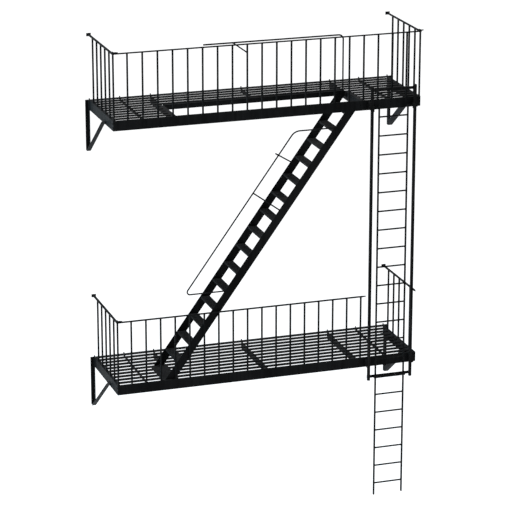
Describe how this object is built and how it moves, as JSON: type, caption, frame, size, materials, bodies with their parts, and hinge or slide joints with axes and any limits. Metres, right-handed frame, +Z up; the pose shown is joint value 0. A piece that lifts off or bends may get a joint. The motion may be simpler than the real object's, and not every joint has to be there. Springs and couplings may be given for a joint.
{
  "type": "fire escape stair",
  "caption": "Wall-hung black steel fire escape: slatted balconies with bar railings, a steep open stair between them and a drop ladder sliding in a guide frame.",
  "frame": {"origin": "middle of the wall face of the upper left bracket's upright leg", "axes": "+X right along the wall as seen from outside, +Y into the wall, +Z up"},
  "size_m": [4.53, 1.344, 6.791],
  "materials": {
    "frame_paint": "satin black paint on rolled steel",
    "floor_paint": "satin black paint, worn along the walked edges",
    "railing_paint": "satin black paint on square bar",
    "stair_paint": "satin black paint on plate",
    "guide_paint": "satin black paint on square bar",
    "ladder_paint": "satin black paint, rubbed where it slides"
  },
  "bodies": {
    "frame": {"upper_front_channel": "frame_paint", "upper_left_channel": "frame_paint", "upper_right_channel": "frame_paint", "upper_wall_ledge": "frame_paint", "upper_joists": "frame_paint", "well_header": "frame_paint", "well_caps": "floor_paint", "upper_rear_slats": "floor_paint", "upper_left_slats": "floor_paint", "upper_right_slats": "floor_paint", "upper_front_railing": "railing_paint", "upper_left_railing": "railing_paint", "upper_right_railing": "railing_paint", "upper_left_bracket": "frame_paint", "upper_right_bracket": "frame_paint", "well_guard_rail": "railing_paint", "well_guard_leg": "railing_paint", "well_guard_tie": "railing_paint", "lower_front_channel": "frame_paint", "lower_left_channel": "frame_paint", "lower_right_channel": "frame_paint", "lower_wall_ledge": "frame_paint", "lower_joists": "frame_paint", "lower_slats": "floor_paint", "landing_fillers": "floor_paint", "lower_front_railing": "railing_paint", "lower_left_railing": "railing_paint", "lower_right_railing": "railing_paint", "lower_left_bracket": "frame_paint", "lower_right_bracket": "frame_paint", "outer_stringer": "stair_paint", "inner_stringer": "stair_paint", "stair_treads": "stair_paint", "stair_top_cleats": "stair_paint", "stair_foot_cleats": "stair_paint", "handrail_run": "railing_paint", "handrail_upper_arm": "railing_paint", "handrail_lower_arm": "railing_paint", "handrail_strut": "railing_paint", "handrail_tie": "railing_paint", "guide_left_post": "guide_paint", "guide_right_post": "guide_paint", "guide_top_crossbar": "guide_paint", "guide_bottom_crossbar": "guide_paint", "ladder_keeper": "guide_paint", "upper_guide_clips": "guide_paint", "lower_guide_clips": "guide_paint"},
    "drop_ladder": {"ladder_left_stile": "ladder_paint", "ladder_right_stile": "ladder_paint", "ladder_rungs": "ladder_paint", "ladder_arms": "ladder_paint", "ladder_left_shoe": "ladder_paint", "ladder_right_shoe": "ladder_paint"}
  },
  "joints": [
    {"name": "ladder_drop", "type": "slide", "parent": "frame", "child": "drop_ladder", "axis": [0, 0, -1], "range_m": [0, 3.862]}
  ]
}
